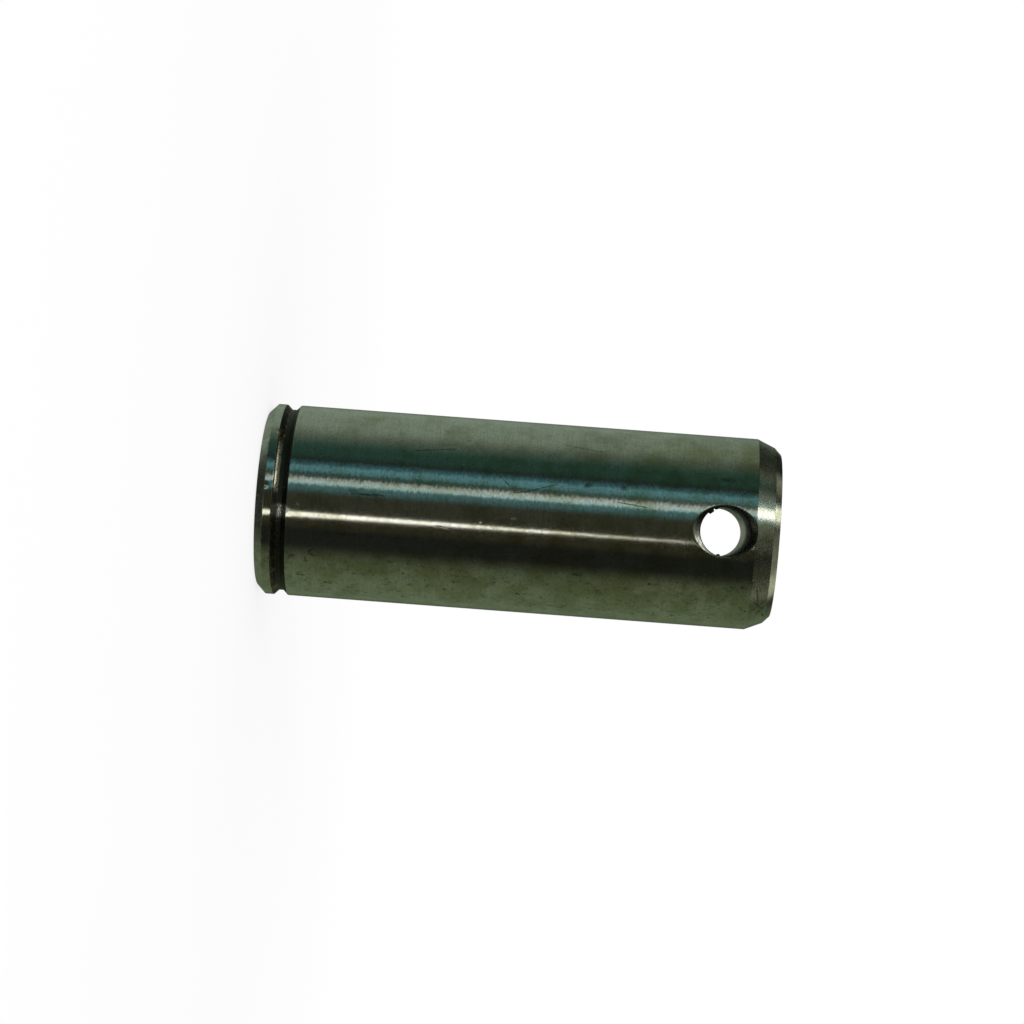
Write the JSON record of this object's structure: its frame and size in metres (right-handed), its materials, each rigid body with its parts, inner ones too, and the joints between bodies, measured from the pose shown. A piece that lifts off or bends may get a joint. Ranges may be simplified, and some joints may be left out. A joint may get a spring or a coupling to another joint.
{
  "type": "pivot pin",
  "caption": "Straight round steel pin with a snap-ring groove near its chamfered foot and a countersunk cross hole near its tapered tip.",
  "frame": {"origin": "centre of the foot face, the flat grooved end that the pin stands on", "axes": "+Z along the pin's axis, from the grooved foot up to the drilled tip; the cross hole runs along Y; X completes the frame"},
  "size_m": [0.03, 0.03, 0.0804],
  "materials": {
    "steel": "ground bright steel with a thin oil film, light scratches and a little rust in the groove"
  },
  "bodies": {
    "root": {"pin": "steel"}
  },
  "joints": []
}
